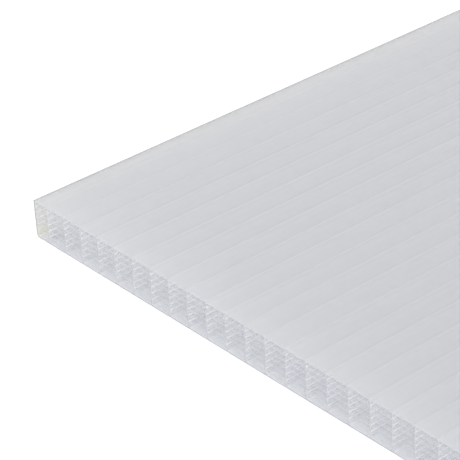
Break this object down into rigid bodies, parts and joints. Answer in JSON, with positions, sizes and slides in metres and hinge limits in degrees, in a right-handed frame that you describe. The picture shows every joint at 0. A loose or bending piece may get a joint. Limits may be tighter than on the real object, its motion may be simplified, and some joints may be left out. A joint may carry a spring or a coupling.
{
  "type": "multiwall glazing sheet",
  "caption": "Flat hollow polycarbonate glazing sheet, with thin inner walls and upright ribs that form open flutes along its length, and closed long sides.",
  "frame": {"origin": "middle of the underside, with the sheet lying flat", "axes": "+Z out of the top face, +Y along the flutes, +X across the flutes"},
  "size_m": [1.05, 2, 0.025],
  "materials": {
    "polycarbonate": "extruded gloss, opal"
  },
  "bodies": {
    "root": {"multiwall_sheet": "polycarbonate"}
  },
  "joints": []
}
